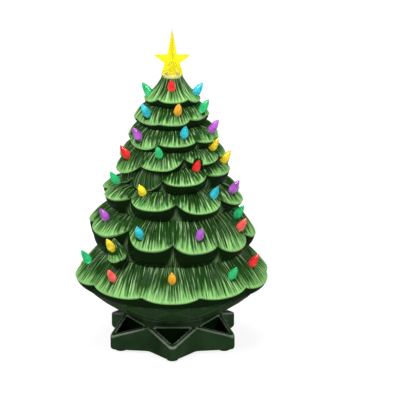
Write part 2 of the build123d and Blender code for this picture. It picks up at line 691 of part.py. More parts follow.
def switch_slider():
    """The thumb nib in its off position, at the low end of its slot."""
    top = PLATE_TOP + SWITCH_HEIGHT / 2 - SLIDER_CLEARANCE
    nib = block(SLIDER_LENGTH, SLIDER_WIDTH, PLATE_BOTTOM - SLIDER_REACH, top)
    return Pos(-SWITCH_TRAVEL / 2, switch_place(), 0) * nib


def switch_wires():
    wire = disc(WIRE_RADIUS, PLATE_TOP + SWITCH_HEIGHT, BOARD_BOTTOM)
    return [Pos(x, switch_place(), 0) * wire for x in (-WIRE_SPACING / 2, WIRE_SPACING / 2)]


def lamps_of(colour):
    peg = lamp()
    return [lamp_location(seat) * peg for lamp_colour, seat in lamp_places() if lamp_colour == colour]


PIECES = {
    "star_foot": star_foot,
    "foot_pads": foot_pads,
    "tree_shell": tree_shell,
    "star_topper": star_topper,
    "bottom_plate": bottom_plate,
    "lamp_case": lamp_case,
    "battery_door": battery_door,
    "coin_cell_lower": lambda: coin_cell(0),
    "coin_cell_upper": lambda: coin_cell(1),
    "negative_contact": negative_contact,
    "positive_contact": positive_contact,
    "circuit_board": circuit_board,
    "leds": leds,
    "case_screws": case_screws,
    "switch_body": switch_body,
    "switch_slider": switch_slider,
    "switch_wires": switch_wires,
}
for lamp_colour in LAMP_COLOURS:
    PIECES[f"{lamp_colour}_lamps"] = lambda colour=lamp_colour: lamps_of(colour)

os.makedirs("parts", exist_ok=True)
for name, make in PIECES.items():
    made = make()
    solids = made if isinstance(made, list) else [made]
    export_step(Compound(solids), f"parts/{name}.step")
    print(name, len(solids), round(sum(s.volume for s in solids)))
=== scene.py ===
# %% [markdown]
# # A small ceramic tree, dressed for a studio picture
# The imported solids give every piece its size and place. This lesson keeps that frame, models the
# brushed boughs of the casting over it, gives every piece a finish, and sets up light and camera.
# All lengths are in metres, and MM turns millimetres into metres where that reads better.

# %% Load the frame
import json
import math
import random

import bmesh
import bpy
import numpy as np
from mathutils import Matrix, Vector

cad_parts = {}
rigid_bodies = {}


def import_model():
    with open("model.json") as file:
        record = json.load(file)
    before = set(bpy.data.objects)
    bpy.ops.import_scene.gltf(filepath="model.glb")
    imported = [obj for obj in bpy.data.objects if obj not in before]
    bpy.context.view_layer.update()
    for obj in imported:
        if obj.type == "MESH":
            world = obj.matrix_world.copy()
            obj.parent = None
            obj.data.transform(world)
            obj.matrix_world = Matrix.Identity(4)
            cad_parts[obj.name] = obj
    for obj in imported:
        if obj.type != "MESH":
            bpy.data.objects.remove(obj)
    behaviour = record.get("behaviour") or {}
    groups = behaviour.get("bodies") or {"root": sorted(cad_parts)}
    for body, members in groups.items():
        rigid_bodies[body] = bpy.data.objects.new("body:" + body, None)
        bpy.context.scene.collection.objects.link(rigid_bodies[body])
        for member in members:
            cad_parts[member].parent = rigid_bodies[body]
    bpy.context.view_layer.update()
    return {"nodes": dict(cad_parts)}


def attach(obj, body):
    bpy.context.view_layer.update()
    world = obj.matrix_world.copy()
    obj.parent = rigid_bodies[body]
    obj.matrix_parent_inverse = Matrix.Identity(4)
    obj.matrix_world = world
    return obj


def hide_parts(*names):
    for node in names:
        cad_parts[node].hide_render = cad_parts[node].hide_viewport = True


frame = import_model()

MM = 0.001
nodes = frame["nodes"]

# %% [markdown]
# ## Camera
# The picture is square, taken from the front and a little above. A long lens two and a half metres away
# keeps the tree's sides nearly parallel. The aim point lies beside the axis because the tree stands left
# of the middle of the picture, so the camera moves over instead of using lens shift.

# %% Place the camera
PICTURE_PIXELS = 400
PIXELS_PER_MM = 1.73
ELEVATION = math.radians(18)
CAMERA_DISTANCE = 2.5
aim = Vector((15.9 * MM, 0, 85.4 * MM))
towards_camera = Vector((0, -math.cos(ELEVATION), math.sin(ELEVATION)))
picture_width = PICTURE_PIXELS / PIXELS_PER_MM * MM

bpy.ops.object.select_all(action="DESELECT")
bpy.ops.object.camera_add(location=aim + towards_camera * CAMERA_DISTANCE)
camera = bpy.context.object
camera.name = "studio_camera"
camera.rotation_euler = (-towards_camera).to_track_quat("-Z", "Y").to_euler()
camera.data.lens = camera.data.sensor_width * CAMERA_DISTANCE / picture_width
bpy.context.scene.camera = camera
print("lens", round(camera.data.lens, 1), "mm at", CAMERA_DISTANCE, "m")

# %% [markdown]
# ## Light
# White light from all round keeps the shadows soft. A broad key light stands high on the left, a weaker
# one on the right and a third above. Mirrored in the glossy glaze, white surroundings would wash out its
# dark green, so glossy rays see them dimmed.

# %% Add the lights
TREE_MIDDLE = Vector((0, 0, 90 * MM))
SOFTBOXES = {
    "key_softbox": ((-0.55, -0.75, 0.95), 0.55, 13.0),
    "fill_softbox": ((0.75, -0.55, 0.65), 0.45, 6.0),
    "top_softbox": ((0.0, 0.15, 1.05), 0.5, 7.0),
}


def add_softbox(name, place, size, power):
    """A square light that looks at the middle of the tree."""
    bpy.ops.object.select_all(action="DESELECT")
    bpy.ops.object.light_add(type="AREA", location=place)
    box = bpy.context.object
    box.name = name
    box.data.size = size
    box.data.energy = power
    look = TREE_MIDDLE - Vector(place)
    box.rotation_euler = look.to_track_quat("-Z", "Y").to_euler()


for name, (place, size, power) in SOFTBOXES.items():
    add_softbox(name, place, size, power)

# %% White surroundings
AMBIENT_STRENGTH = 0.45
MIRRORED_STRENGTH = 0.08
BACKDROP_STRENGTH = 1.0
world = bpy.data.worlds.new("white_studio")
world.use_nodes = True
w = world.node_tree
backdrop = w.nodes["Background"]
backdrop.inputs["Color"].default_value = (1, 1, 1, 1)
ray = w.nodes.new("ShaderNodeLightPath")
dimmed = w.nodes.new("ShaderNodeMapRange")
dimmed.inputs["To Min"].default_value = AMBIENT_STRENGTH
dimmed.inputs["To Max"].default_value = MIRRORED_STRENGTH
w.links.new(ray.outputs["Is Glossy Ray"], dimmed.inputs["Value"])
straight = w.nodes.new("ShaderNodeMath")
straight.operation = "MAXIMUM"
w.links.new(ray.outputs["Is Camera Ray"], straight.inputs[0])
w.links.new(ray.outputs["Is Transmission Ray"], straight.inputs[1])
strength = w.nodes.new("ShaderNodeMapRange")
strength.inputs["To Max"].default_value = BACKDROP_STRENGTH
w.links.new(straight.outputs["Value"], strength.inputs["Value"])
w.links.new(dimmed.outputs["Result"], strength.inputs["To Min"])
w.links.new(strength.outputs["Result"], backdrop.inputs["Strength"])
bpy.context.scene.world = world
bpy.context.scene.view_settings.view_transform = "Standard"
print("surroundings:", world.name)

# %% [markdown]
# ## Floor
# A plain pale sheet. It belongs to the stage and not to the object.

# %% Lay the floor
FLOOR_SIZE = 6
FLOOR_DROP = 0.0002
bpy.ops.object.select_all(action="DESELECT")
bpy.ops.mesh.primitive_plane_add(size=FLOOR_SIZE, location=(0, 0, -FLOOR_DROP))
floor = bpy.context.object
floor.name = "pale_floor"
print("floor", [round(v, 2) for v in floor.dimensions])

# %% [markdown]
# ## Helpers for modelling
# Edit-mode tools act on what is selected. `pick` selects vertices, edges or faces by their place, so
# that each step below reads as it would by hand: pick a ring, scale it, move it.

# %% Selection helpers
def pick(piece, test, kind="VERT"):
    """Enter edit mode and select every vertex, edge or face whose middle passes the test."""
    bpy.ops.object.mode_set(mode="EDIT")
    bpy.ops.mesh.select_mode(type=kind)
    bpy.ops.mesh.select_all(action="DESELECT")
    mesh = bmesh.from_edit_mesh(piece.data)
    for item in {"VERT": mesh.verts, "EDGE": mesh.edges, "FACE": mesh.faces}[kind]:
        corners = [item] if kind == "VERT" else item.verts
        if test(sum((v.co for v in corners), Vector()) / len(corners)):
            item.select_set(True)
    mesh.select_flush_mode()
    bmesh.update_edit_mesh(piece.data)


def leave_edit():
    bpy.ops.object.mode_set(mode="OBJECT")


def select_only(piece):
    """Make one piece the only selected one, and the active one."""
    bpy.ops.object.select_all(action="DESELECT")
    piece.select_set(True)
    bpy.context.view_layer.objects.active = piece


# %% [markdown]
# ## One tier of boughs
# Each tier of the casting is a ring of boughs that grow together above and part lower down, where each
# one hangs out over a dark cushion. Needle grooves run down the slope and draw together towards the top
# of each bough. A tier starts as a cone with one line for every needle. Rings are cut into its side, more
# are drawn down from its base, and then every line is sculpted to its place.

# %% Block out a tier
SLOPE_STEPS = (0.0, 0.08, 0.17, 0.27, 0.37, 0.47, 0.57, 0.66, 0.74, 0.81, 0.87, 0.92, 0.96, 1.0)
UNDER_STEPS = (0.0, 0.08, 0.2, 0.36, 0.52, 0.68, 0.84, 1.0)


def block_out(name, columns):
    """A cone with a ring for every step of the slope, and a tube of rings drawn down from its base."""
    bpy.ops.object.select_all(action="DESELECT")
    bpy.ops.mesh.primitive_cone_add(vertices=columns, radius1=1, radius2=0.5, depth=1, location=(0, 0, 0.5))
    piece = bpy.context.object
    piece.name = name
    bpy.ops.object.transform_apply(location=True)
    pick(piece, lambda c: 0.01 < c.z < 0.99, "EDGE")
    bpy.ops.mesh.subdivide(number_cuts=len(SLOPE_STEPS) - 2)
    pick(piece, lambda c: abs(c.z) < 1e-5, "FACE")
    for _ in UNDER_STEPS:
        bpy.ops.mesh.extrude_region_move(TRANSFORM_OT_translate={"value": (0, 0, -1)})
    leave_edit()
    return piece


# %% Rim of a bough
RIM_POWER = 2.6


def bough_at(azimuth, form):
    """The rim at an azimuth: tip azimuth, half width, place from tip (0) to notch (1), reach and height."""
    boughs = form["boughs"]
    hang_r, hang_z = form["hang"]
    for i, (tip, reach, height, *own) in enumerate(boughs):
        before, after = boughs[i - 1], boughs[(i + 1) % len(boughs)]
        left = (before[0] - (360 if i == 0 else 0) + tip) / 2
        right = (after[0] + (360 if i == len(boughs) - 1 else 0) + tip) / 2
        for turn in (-360, 0, 360):
            if not left <= azimuth + turn < right:
                continue
            offset = azimuth + turn - tip
            other, edge, notch = (before, left, own) if offset < 0 else (after, right, after[3:])
            share = notch[0] if notch else form["notch"]
            notch_r = hang_r + (min(reach, other[1]) - hang_r) * share
            notch_z = hang_z + ((height + other[2]) / 2 - hang_z) * share
            half = abs(edge - tip)
            bend = abs(offset / half) ** RIM_POWER
            rim = (reach + (notch_r - reach) * bend, height + (notch_z - height) * bend)
            return tip, half, offset / half, *rim


# %% Needle grooves
DEEPEST_GROOVE = 0.65
GROOVE_DEPTHS = (0.22, 0.4, 0.4, DEEPEST_GROOVE)
GROOVE_GAPS = (2, 2, 2, 3)
FADE_ABOVE = 0.10
FADE_AT_LIP = 0.07


def needle_grooves(columns, draw):
    """How deep each line is pressed in, in millimetres: none for a ridge."""
    depths = [0.0] * columns
    column = 1
    while column < columns - 1:
        depths[column] = draw.choice(GROOVE_DEPTHS)
        column += draw.choice(GROOVE_GAPS)
    return depths


def groove_share(step):
    """Grooves fade out on the smooth lip and under the tier above."""
    return max(0.0, min(1.0, step / FADE_ABOVE, (1.0 - step) / FADE_AT_LIP))


# %% [markdown]
# Every point of a tier gets marks for the finish as well, kept in two maps. The fan map holds the way
# round and the way up from the rim, which is below zero on the underside. The needle map holds the groove
# and the painted shade beside a notch. The underside has no grooves, so there the groove mark tells how
# far the painted shade of the underside gives way to strokes between two boughs.

# %% Slope and underside of a bough
VALLEY_DEPTH = 1.4
CREASE_DEPTH = 0.5
CREASE_WIDTH = 0.10
FAN_PULL = 0.45
BELLY_SHARE = 0.127
LIP_TUCK = 0.5
LIP_DROP = 1.0
LIP_ROUND = 0.3
SHADED = 0.62
WEDGE_WIDTH = 0.18
WEDGE_RISE = 1.5
PLAIN_WEDGE = 0.3
UNDER_MARK = -0.06
BRUSH_SPREAD = 0.5
BRUSH_CURVE = 1.5
BRUSH_SOFTNESS = 0.14


def across_line(start, end, share, swell):
    """A point on a line between two (radius, height) places, pushed off it to the outer side."""
    run, drop = end[0] - start[0], end[1] - start[1]
    span = math.hypot(run, drop)
    return start[0] + run * share - drop / span * swell, start[1] + drop * share + run / span * swell


def near_notch(place, width):
    """One in a notch, fading to none over a share of the bough's half width."""
    return math.exp(-(((1 - abs(place)) / width) ** 2))


def slope_point(form, rim, step, depth, jitter):
    """A point of the slope: azimuth, radius and height, then its marks up, groove and painted notch shade."""
    tip, half, place, reach, height = rim
    groove = groove_share(step)
    azimuth = tip + place * half * (1 - FAN_PULL * (1 - step) * (1 - place * place))
    azimuth += jitter * (1 - step)
    swell = (form["bulge"] - VALLEY_DEPTH * place * place) * math.sin(math.pi * step)
    crease = CREASE_DEPTH * near_notch(place, CREASE_WIDTH) * step
    swell -= crease + depth * groove + (LIP_ROUND if step == 1.0 else 0)
    radius, level = across_line(form["hang"], (reach, height), step, swell)
    # Boughs listed as shaded are painted dark over the whole slope: painted shade under the tier above.
    up = max(1 - step, SHADED if tip in form.get("shaded", ()) else 0) * form["tone"]
    # Beside each notch the slope is painted darker: painted shade in the crease between two boughs.
    wedge = near_notch(place, WEDGE_WIDTH) * form.get("wedge", PLAIN_WEDGE)
    return azimuth, radius, level, up, depth / DEEPEST_GROOVE * groove, wedge * min(1.0, step * WEDGE_RISE)


def under_point(form, rim, step, azimuth):
    """A point of the underside, in the same order: a belly from the lip in to the waist, marked for painted
    shade.
    """
    place, reach, height = rim[2:]
    lip = (reach - LIP_TUCK, height - LIP_DROP)
    span = math.dist(lip, form["waist"])
    swell = BELLY_SHARE * span * math.sin(math.pi * step) - (LIP_ROUND if step == 0.0 else 0)
    radius, level = across_line(lip, form["waist"], step, swell)
    # Between two boughs the painted shade of the underside gives way to strokes, so it ends in a scallop
    # under each bough.
    between = (abs(place) - 1 + BRUSH_SPREAD * step ** BRUSH_CURVE) / BRUSH_SOFTNESS
    between = form.get("wedge", 0.0) * max(0.0, min(1.0, between))
    return azimuth, radius, level, UNDER_MARK - step, between, near_notch(place, CREASE_WIDTH)


# %% Sculpt a tier
NEEDLE_PITCH = 1.0
NEEDLE_JITTER = 0.12
FAN_STARTS = (2, 40)
COLUMNS_PER_UNIT = 96


def map_fan(piece, marks, columns, start):
    """Write the marks of every point to the two maps, without a break where the ring closes."""
    mesh = piece.data
    for layer in list(mesh.uv_layers):
        mesh.uv_layers.remove(layer)
    mesh.uv_layers.new(name="fan")
    mesh.uv_layers.new(name="needle")
    for face in mesh.polygons:
        found = [marks[mesh.loops[i].vertex_index] for i in face.loop_indices]
        wraps = max(m[0] for m in found) - min(m[0] for m in found) > columns / 2
        for i, (column, up, groove, wedge) in zip(face.loop_indices, found):
            count = column + (columns if wraps and column < columns / 2 else 0)
            mesh.uv_layers["fan"].data[i].uv = (start + count / COLUMNS_PER_UNIT, up)
            mesh.uv_layers["needle"].data[i].uv = (groove, wedge)


def sculpt_tier(name, form, draw):
    """Move every point of a blocked-out tier to its place, and map it as a fan."""
    columns = int(2 * math.pi * max(bough[1] for bough in form["boughs"]) / NEEDLE_PITCH)
    piece = block_out(name, columns)
    depths = needle_grooves(columns, draw)
    jitter = [draw.uniform(-NEEDLE_JITTER, NEEDLE_JITTER) for _ in range(columns)]
    marks = []
    for vertex in piece.data.vertices:
        turn = math.atan2(vertex.co.x, -vertex.co.y) / (2 * math.pi) + 0.5
        column = int(round(turn * columns)) % columns
        azimuth = column / columns * 360 - 180
        rim = bough_at(azimuth, form)
        if vertex.co.z > -1e-4:
            step = SLOPE_STEPS[int(round((1 - vertex.co.z) * (len(SLOPE_STEPS) - 1)))]
            point = slope_point(form, rim, step, depths[column], jitter[column])
        else:
            step = UNDER_STEPS[int(round(-vertex.co.z)) - 1]
            point = under_point(form, rim, step, azimuth)
        azimuth, radius, level, *mark = point
        marks.append((column, *mark))
        angle = math.radians(azimuth)
        vertex.co = (radius * math.sin(angle) * MM, -radius * math.cos(angle) * MM, level * MM)
    map_fan(piece, marks, columns, draw.uniform(*FAN_STARTS))
    return piece


# %% [markdown]
# ## All the tiers
# The casting has eight uneven tiers. A tier hangs from one round waist and ends in the next. For every
# bough the table gives the azimuth of its tip from the front, its reach from the axis and its height.
# Neighbouring rims meet in a notch some share of the way down the slope: each tier has one share, and a
# fourth value is a bough's own, for the notch before it. The bulge rounds the slope. Tone, wedge and
# shaded serve the finish: how dark the slope grows upwards; how much painted shade lies beside its notches,
# which also sets how far the painted shade of the underside gives way between boughs; and which boughs
# are painted dark as a whole, as painted shade.

# %% Table of tiers
CROWN = (6.0, 160.0)
TIERS = {
    "crown": dict(waist=(13.0, 144.6), notch=0.84, bulge=-0.5, tone=0.55, boughs=[
        (-142, 16.5, 147.8), (-70, 16.6, 147.8), (2, 16.8, 149.3), (76, 16.6, 147.2), (148, 16.5, 148.0)]),
    "second": dict(waist=(17.0, 132.6), notch=0.92, bulge=1.4, tone=0.8, boughs=[
        (-156, 22.0, 136.0), (-107, 22.6, 135.2), (-49, 21.6, 136.4), (7, 21.6, 137.2),
        (60, 20.8, 138.4, 0.78), (108, 21.8, 136.6), (157, 21.8, 136.6)]),
    "third": dict(waist=(21.5, 121.0), notch=0.78, bulge=1.8, tone=1.0, wedge=1.0, boughs=[
        (-166, 27.0, 124.4), (-120, 26.6, 123.6), (-46, 26.2, 122.6), (7, 27.0, 126.2), (64, 28.0, 126.0),
        (114, 27.4, 124.6), (158, 27.0, 124.6)]),
    "fourth": dict(waist=(23.8, 111.2), notch=0.74, bulge=1.8, tone=1.0, wedge=1.0, boughs=[
        (-152, 30.6, 113.6), (-108, 31.4, 112.0), (-65, 34.4, 108.0), (-14, 31.6, 113.0),
        (45, 31.2, 115.0, 0.4), (92, 30.8, 113.8), (136, 30.8, 113.6), (178, 30.8, 113.4)]),
    "fifth": dict(waist=(27.5, 98.0), notch=0.6, bulge=1.8, tone=1.0, wedge=1.0, shaded=(-78, -36), boughs=[
        (-160, 34.2, 106.6), (-118, 32.0, 104.5), (-78, 30.4, 99.7), (-36, 30.4, 99.7), (13, 36.2, 105.6),
        (70, 34.4, 106.6), (114, 34.4, 106.6), (157, 34.4, 106.8)]),
    "sixth": dict(waist=(33.0, 83.4), notch=0.52, bulge=1.8, tone=1.0, wedge=1.0, boughs=[
        (-146, 41.4, 91.0), (-104, 41.4, 92.0), (-66, 41.6, 93.0), (-20, 41.2, 92.0), (28, 41.6, 89.6),
        (77, 41.6, 88.0), (114, 41.4, 89.0), (148, 41.4, 90.4), (180, 41.4, 91.0)]),
    "seventh": dict(waist=(40.5, 58.0), notch=0.72, bulge=1.8, tone=1.0, wedge=1.0, boughs=[
        (-152, 48.6, 71.0), (-106, 49.4, 72.0), (-60, 49.5, 73.4), (-17, 48.0, 70.0, 0.45), (18, 48.0, 68.4),
        (54, 48.4, 65.2, 0.8), (88, 48.4, 66.0), (124, 48.4, 68.0), (164, 48.4, 70.0)]),
    "skirt": dict(waist=(52.2, 37.8), notch=0.88, bulge=0.9, tone=0.85, boughs=[
        (-146, 56.2, 42.0), (-114, 56.0, 42.0), (-78, 57.0, 42.0), (-38, 55.6, 42.0), (0, 56.0, 41.6),
        (35, 55.6, 42.0), (70, 56.6, 41.4), (106, 56.2, 42.0), (142, 56.0, 42.0), (178, 56.2, 42.0)]),
}
print("tiers drawn:", len(TIERS), "boughs", sum(len(form["boughs"]) for form in TIERS.values()))

# %% Sculpt all the tiers
OVERLAP = 1.2
DRAW_SEED = 7
casting_parts = bpy.data.collections.new("casting_parts")
bpy.context.scene.collection.children.link(casting_parts)
draw = random.Random(DRAW_SEED)


def keep_in(collection, piece):
    for owner in list(piece.users_collection):
        owner.objects.unlink(piece)
    collection.objects.link(piece)


above = CROWN
for tier, form in TIERS.items():
    waist = form["waist"]
    form["hang"] = above if above == CROWN else (above[0] - OVERLAP / 2, above[1] + OVERLAP)
    form["waist"] = (waist[0] - OVERLAP / 2, waist[1] - OVERLAP)
    keep_in(casting_parts, sculpt_tier(f"tier_{tier}", form, draw))
    above = waist

# %% [markdown]
# ## The small sprig
# One small bough fills the gap under two boughs of the seventh tier. It is a tier of its own with a single
# round rim, made on the axis, leaned and moved out to its place.

# %% Place the sprig
SPRIG = dict(hang=(0.6, 11.5), waist=(1.5, -7.0), notch=0.95, bulge=1.0, tone=1.0, boughs=[
    (-120, 5.8, 0.0), (0, 6.0, -0.5), (120, 5.8, 0.0)])
SPRIG_AZIMUTH, SPRIG_REACH, SPRIG_HEIGHT, SPRIG_LEAN = -43, 46.0, 62.5, 14
sprig = sculpt_tier("tier_sprig", SPRIG, draw)
lean = Matrix.Rotation(math.radians(SPRIG_LEAN), 4, "X")
out = Matrix.Translation((0, -SPRIG_REACH * MM, SPRIG_HEIGHT * MM))
sprig.matrix_world = Matrix.Rotation(math.radians(SPRIG_AZIMUTH), 4, "Z") @ out @ lean
select_only(sprig)
bpy.ops.object.transform_apply(location=True, rotation=True, scale=True)
keep_in(casting_parts, sprig)
print("sprig at", SPRIG_AZIMUTH, "degrees")

# %% [markdown]
# ## Trunk and bowl
# Behind the boughs the casting is a plain stepped cone that ends below in a round bowl. A profile is
# drawn as a chain of points and spun about the axis, as a potter's template would cut it.

# %% Spin a profile
SPIN_STEPS = 96


def spin_profile(name, profile):
    """A closed solid of revolution from (radius, height) points in millimetres."""
    bpy.ops.object.select_all(action="DESELECT")
    bpy.ops.mesh.primitive_plane_add(size=1)
    piece = bpy.context.object
    piece.name = name
    bpy.ops.object.mode_set(mode="EDIT")
    bpy.ops.mesh.delete(type="VERT")
    mesh = bmesh.from_edit_mesh(piece.data)
    closed = [(0, profile[0][1]), *profile, (0, profile[-1][1])]
    chain = [mesh.verts.new((r * MM, 0, z * MM)) for r, z in closed]
    for a, b in zip(chain, chain[1:]):
        mesh.edges.new((a, b))
    bmesh.update_edit_mesh(piece.data)
    bpy.ops.mesh.select_all(action="SELECT")
    bpy.ops.mesh.spin(steps=SPIN_STEPS, angle=2 * math.pi, center=(0, 0, 0), axis=(0, 0, 1))
    bpy.ops.mesh.select_all(action="SELECT")
    bpy.ops.mesh.remove_doubles(threshold=1e-6)
    bpy.ops.mesh.normals_make_consistent(inside=False)
    leave_edit()
    return piece


def mark_plain(piece, up, groove=0.0):
    """A piece without needles carries the same marks all over: below zero is the dark glaze."""
    mesh = piece.data
    for layer in list(mesh.uv_layers):
        mesh.uv_layers.remove(layer)
    for name, value in (("fan", (0.0, up)), ("needle", (groove, 0.0))):
        layer = mesh.uv_layers.new(name=name)
        for corner in layer.data:
            corner.uv = value


# %% Spin trunk and bowl
BOWL_MARK = -3.0
BOWL = [(28.4, 20.5), (33.2, 22.9), (38.4, 26.0), (43.4, 29.5), (48.0, 33.3), (51.4, 36.8), (52.6, 38.6)]
TRUNK = [(50.5, 41.0), (39.0, 57.5), (38.0, 62.0), (31.5, 83.5), (29.5, 88.0), (26.0, 98.0), (24.0, 104.0),
         (22.3, 111.2), (20.0, 121.0), (15.5, 133.0), (11.5, 145.0), (8.0, 153.0), (5.0, 159.0), (4.6, 159.6)]
tree = spin_profile("glazed_tree", BOWL + TRUNK)
mark_plain(tree, BOWL_MARK)
print("trunk faces", len(tree.data.polygons))

# %% [markdown]
# ## Join the casting
# A Boolean union makes trunk and boughs one skin, as the poured clay is. Small sockets are added
# where the lamps stand, so that every lamp sits in a collar of glaze, painted dark: partly glaze pooled
# round the hole, partly painted shade round the lamp. Their places come from the lamp solids themselves:
# each lamp's long axis is found from its points.

# %% Unite trunk and boughs
def carve(piece, operation, tools):
    """Apply a Boolean between a piece and everything in a collection, then clear the collection."""
    select_only(piece)
    step = piece.modifiers.new("carve", "BOOLEAN")
    step.operation = operation
    step.operand_type = "COLLECTION"
    step.collection = tools
    step.solver = "MANIFOLD"
    bpy.ops.object.modifier_apply(modifier=step.name)
    for tool in list(tools.objects):
        bpy.data.objects.remove(tool)


carve(tree, "UNION", casting_parts)
print("tree after union:", len(tree.data.polygons), "faces")

# %% Find the lamps
LAMP_NODES = [name for name in nodes if name.endswith("_lamps")]
LAMP_LENGTH = 9.2 * MM


def lamp_axes(node):
    """The seat and the direction of each lamp in a node, from its separate islands of points."""
    mesh = bmesh.new()
    mesh.from_mesh(node.data)
    bmesh.ops.remove_doubles(mesh, verts=mesh.verts, dist=1e-6)
    seen = set()
    found = []
    for start in mesh.verts:
        if start in seen:
            continue
        seen.add(start)
        island, to_visit = [], [start]
        while to_visit:
            vertex = to_visit.pop()
            island.append(vertex)
            for edge in vertex.link_edges:
                other = edge.other_vert(vertex)
                if other not in seen:
                    seen.add(other)
                    to_visit.append(other)
        points = np.array([v.co for v in island])
        middle = points.mean(axis=0)
        axis = Vector(np.linalg.eigh(np.cov((points - middle).T))[1][:, -1])
        axis = axis if axis.z > 0 else -axis
        along = (points - middle) @ np.array(axis)
        found.append((Vector(middle) + axis * (along.max() - LAMP_LENGTH), axis))
    mesh.free()
    return found


lamps = [lamp for name in LAMP_NODES for lamp in lamp_axes(nodes[name])]
print("lamps found:", len(lamps))

# %% Check how the lamps meet the surface
LOOK_FROM = 30 * MM


def surface_offset(piece, seat, axis):
    """How far the surface lies above (+) or below (-) a lamp's seat, along the lamp."""
    hit, place, _, _ = piece.ray_cast(seat + axis * LOOK_FROM, -axis)
    return (place - seat).dot(axis) if hit else None


offsets = [surface_offset(tree, seat, axis) for seat, axis in lamps]
print("surface against seats, mm:", sorted(round(o / MM, 1) for o in offsets if o is not None))

# %% Sockets and holes for the lamps
SOCKET_RADIUS = 3.2 * MM
SOCKET_DEPTH = 7.0 * MM
SOCKET_PROUD = 0.2 * MM
SOCKET_FLARE = (1.25, 0.92)
CUP_RADIUS = 2.5 * MM
CUP_FLARE = (0.8, 1.2)
CUP_DEPTH = 0.6 * MM
CUP_HEIGHT = 8.0 * MM
PEG_HOLE_RADIUS = 1.6 * MM
PEG_HOLE_DEPTH = 13.0 * MM
ROUND_SIDES = 28
# Sockets take the tone of a dark groove high on a slope: a dark ring round each lamp, partly pooled glaze,
# partly painted shade.
SOCKET_SHADE_MARKS = (0.85, 1.0)


def carve_rounds(name, operation, low, high, radius, flare=(1, 1)):
    """Add or cut a short cone on every lamp's axis; the flare widens or narrows its two ends."""
    for i, (seat, axis) in enumerate(lamps):
        bpy.ops.object.select_all(action="DESELECT")
        turn = axis.to_track_quat("Z", "Y").to_euler()
        bpy.ops.mesh.primitive_cone_add(
            vertices=ROUND_SIDES, radius1=radius * flare[0], radius2=radius * flare[1],
            depth=high - low, location=seat + axis * (low + high) / 2, rotation=turn)
        piece = bpy.context.object
        piece.name = f"{name}_{i}"
        bpy.ops.object.transform_apply(location=True, rotation=True, scale=True)
        mark_plain(piece, *SOCKET_SHADE_MARKS)
        keep_in(casting_parts, piece)
    carve(tree, operation, casting_parts)


carve_rounds("socket", "UNION", -SOCKET_DEPTH, SOCKET_PROUD, SOCKET_RADIUS, SOCKET_FLARE)
carve_rounds("cup", "DIFFERENCE", -CUP_DEPTH, CUP_HEIGHT, CUP_RADIUS, CUP_FLARE)
carve_rounds("peg_hole", "DIFFERENCE", -PEG_HOLE_DEPTH, 0, PEG_HOLE_RADIUS)
print("tree with lamp holes:", len(tree.data.polygons), "faces")

# %% [markdown]
# ## Hollow the casting
# The tree is poured hollow and open at the foot, where it slips over the ring of the base. The inside
# follows the tiers, and a narrow hole in the crown takes the star's peg.

# %% Cut the inside
MOUTH_RADIUS = 22.9
HOLLOW = [(MOUTH_RADIUS, 20.0), (MOUTH_RADIUS, 24.5), (42.0, 39.0), (46.0, 42.5), (35.5, 56.0), (37.0, 66.0),
          (28.0, 81.5), (29.5, 88.0), (22.5, 96.5), (24.5, 105.0), (18.8, 109.5), (22.5, 112.5),
          (16.5, 119.5), (18.0, 122.0), (12.0, 131.0), (13.5, 135.0), (8.0, 143.0), (9.0, 146.0),
          (3.5, 152.0)]
STAR_HOLE = [(2.35, 151.0), (2.35, 161.0)]
INSIDE_MARK = -0.4
for name, profile in (("hollow", HOLLOW), ("star_hole", STAR_HOLE)):
    tool = spin_profile(name, profile)
    mark_plain(tool, INSIDE_MARK)
    keep_in(casting_parts, tool)
carve(tree, "DIFFERENCE", casting_parts)
bpy.data.collections.remove(casting_parts)
print("hollow casting:", len(tree.data.polygons), "faces")

# %% Finish the casting
SMOOTH_ANGLE = math.radians(50)
select_only(tree)
bpy.ops.object.shade_smooth_by_angle(angle=SMOOTH_ANGLE)
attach(tree, "tree")
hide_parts("tree_shell")
print("casting:", tree.name)

# %% [markdown]
# ## Lamp cores
# A lamp is a clear cap with a coloured core, so its edge looks paler than its middle. The cap is the lamp's
# own solid. The core is a small drop inside it: a ball whose upper half is drawn out to a blunt point.

# %% Model the cores
CORE_RADIUS = 1.45 * MM
CORE_POINT = 3.0
CORE_HEIGHT = 2.5 * MM
CORE_SEGMENTS, CORE_RINGS = 20, 12


def add_core(name, places):
    """A drop inside every lamp of one colour, joined into one piece."""
    drops = []
    for seat, axis in places:
        bpy.ops.object.select_all(action="DESELECT")
        bpy.ops.mesh.primitive_uv_sphere_add(
            segments=CORE_SEGMENTS, ring_count=CORE_RINGS, radius=CORE_RADIUS)
        drop = bpy.context.object
        pick(drop, lambda c: c.z > 1e-6)
        bpy.ops.transform.resize(value=(1, 1, CORE_POINT), center_override=(0, 0, 0))
        leave_edit()
        bpy.ops.object.shade_smooth()
        lean = axis.to_track_quat("Z", "Y").to_matrix().to_4x4()
        drop.matrix_world = Matrix.Translation(seat + axis * CORE_HEIGHT) @ lean
        bpy.ops.object.transform_apply(location=True, rotation=True, scale=True)
        drops.append(drop)
    bpy.ops.object.select_all(action="DESELECT")
    for drop in drops:
        drop.select_set(True)
    bpy.context.view_layer.objects.active = drops[0]
    bpy.ops.object.join()
    drops[0].name = name
    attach(drops[0], "tree")
    return drops[0]


cores = {name: add_core(name.replace("_lamps", "_cores"), lamp_axes(nodes[name])) for name in LAMP_NODES}
print("cores:", {name: len(core.data.polygons) for name, core in cores.items()})

# %% [markdown]
# ## Foot
# The foot is cast in the same clay, and its glaze runs over every edge, so none is sharp. A copy of the
# foot's solid is remeshed into small even faces, and smoothing then rounds all the edges a little.

